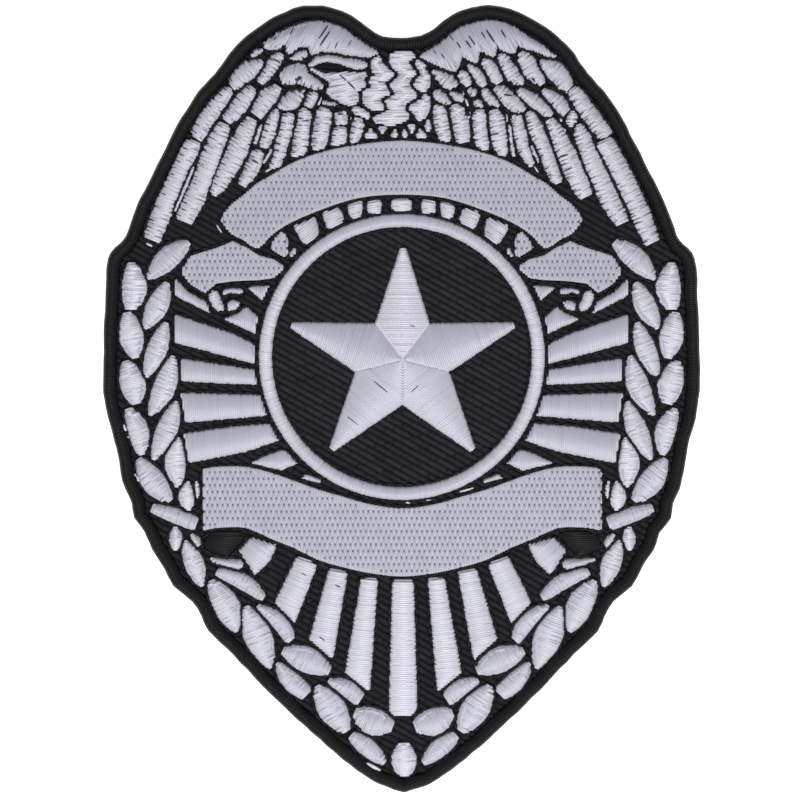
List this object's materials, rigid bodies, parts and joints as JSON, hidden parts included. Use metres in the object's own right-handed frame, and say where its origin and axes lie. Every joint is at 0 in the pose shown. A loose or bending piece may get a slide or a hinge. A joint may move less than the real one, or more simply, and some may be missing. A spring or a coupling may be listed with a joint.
{
  "type": "embroidered shield badge patch",
  "caption": "Flat cloth patch cut as a police shield, embroidered with an eagle, a star in a ring, rays, laurel leaves and bare ribbons inside a satin border.",
  "frame": {"origin": "middle of the shield's width and height, on the flat back of the cloth", "axes": "+X to the right of the badge seen face on, +Y up towards the eagle, +Z out of the embroidered front"},
  "size_m": [0.077, 0.1016, 0.0019],
  "materials": {
    "black_twill": "matt black twill",
    "black_thread": "black embroidery thread with a soft sheen",
    "white_thread": "cool white embroidery thread with a soft sheen"
  },
  "bodies": {
    "root": {"ground_cloth": "black_twill", "border": "black_thread", "ribbon_shadow_left": "black_thread", "ribbon_shadow_right": "black_thread", "eagle_eye": "black_thread", "center_ring": "white_thread", "star": "white_thread", "upper_ribbon": "white_thread", "lower_ribbon": "white_thread", "ribbon_tail_left": "white_thread", "ribbon_tail_right": "white_thread", "ribbon_return_left": "white_thread", "ribbon_return_right": "white_thread", "ribbon_curl_left": "white_thread", "ribbon_curl_right": "white_thread", "side_rays_left": "white_thread", "side_rays_right": "white_thread", "top_rays": "white_thread", "bottom_rays": "white_thread", "laurel_outer_left": "white_thread", "laurel_outer_right": "white_thread", "laurel_inner_left": "white_thread", "laurel_inner_right": "white_thread", "laurel_folded_left": "white_thread", "laurel_folded_right": "white_thread", "laurel_stems_left": "white_thread", "laurel_stems_right": "white_thread", "laurel_bud": "white_thread", "wing_crest_left": "white_thread", "wing_crest_right": "white_thread", "wing_coverts_left": "white_thread", "wing_coverts_right": "white_thread", "wing_feathers_left": "white_thread", "wing_feathers_right": "white_thread", "eagle_brow": "white_thread", "eagle_face": "white_thread", "eagle_neck": "white_thread", "breast_tufts": "white_thread"}
  },
  "joints": []
}
